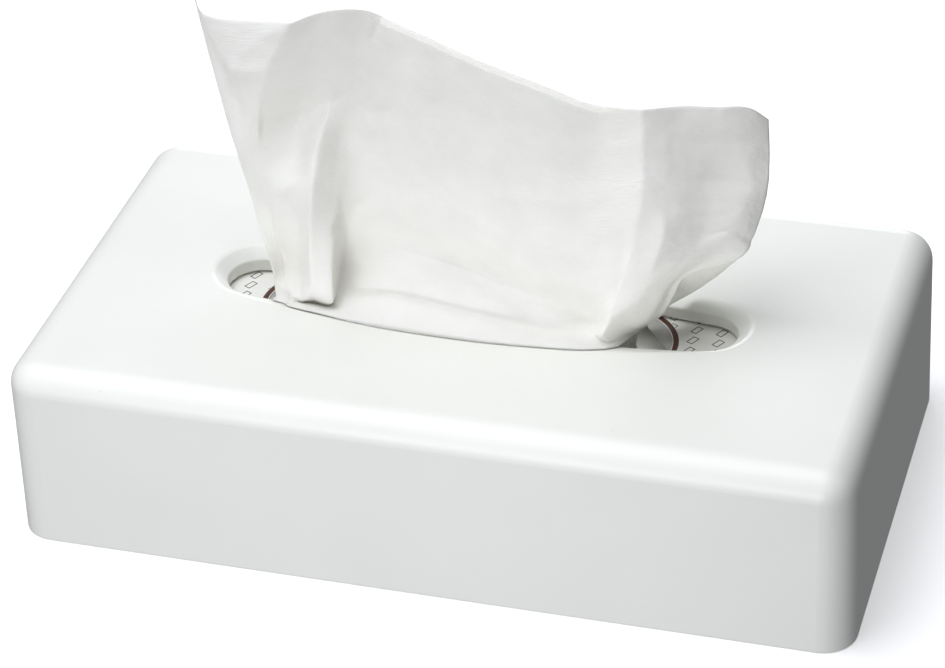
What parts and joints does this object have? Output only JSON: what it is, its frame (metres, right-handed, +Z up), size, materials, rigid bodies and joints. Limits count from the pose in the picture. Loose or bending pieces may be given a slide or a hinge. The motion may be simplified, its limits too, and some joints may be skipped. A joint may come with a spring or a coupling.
{
  "type": "tissue box",
  "caption": "Rectangular moulded tissue box cover with an oval slot, standing over a flat carton of folded tissues, one tissue drawn up through the slot.",
  "frame": {"origin": "centre of the cover's foot, on the surface that the box stands on", "axes": "+X along the box and its slot, +Y across it towards the back, +Z up"},
  "size_m": [0.26, 0.1422, 0.1584],
  "materials": {
    "cover_plastic": "polished white injection moulding",
    "carton_board": "coated white board with small outlined rectangles and a brown ring round the window",
    "film": "thin clear-cloudy film",
    "tissue_paper": "soft creped two-ply tissue"
  },
  "bodies": {
    "root": {"cover": "cover_plastic", "carton": "carton_board", "window_film": "film", "tissue_stack": "tissue_paper", "raised_tissue": "tissue_paper"}
  },
  "joints": []
}
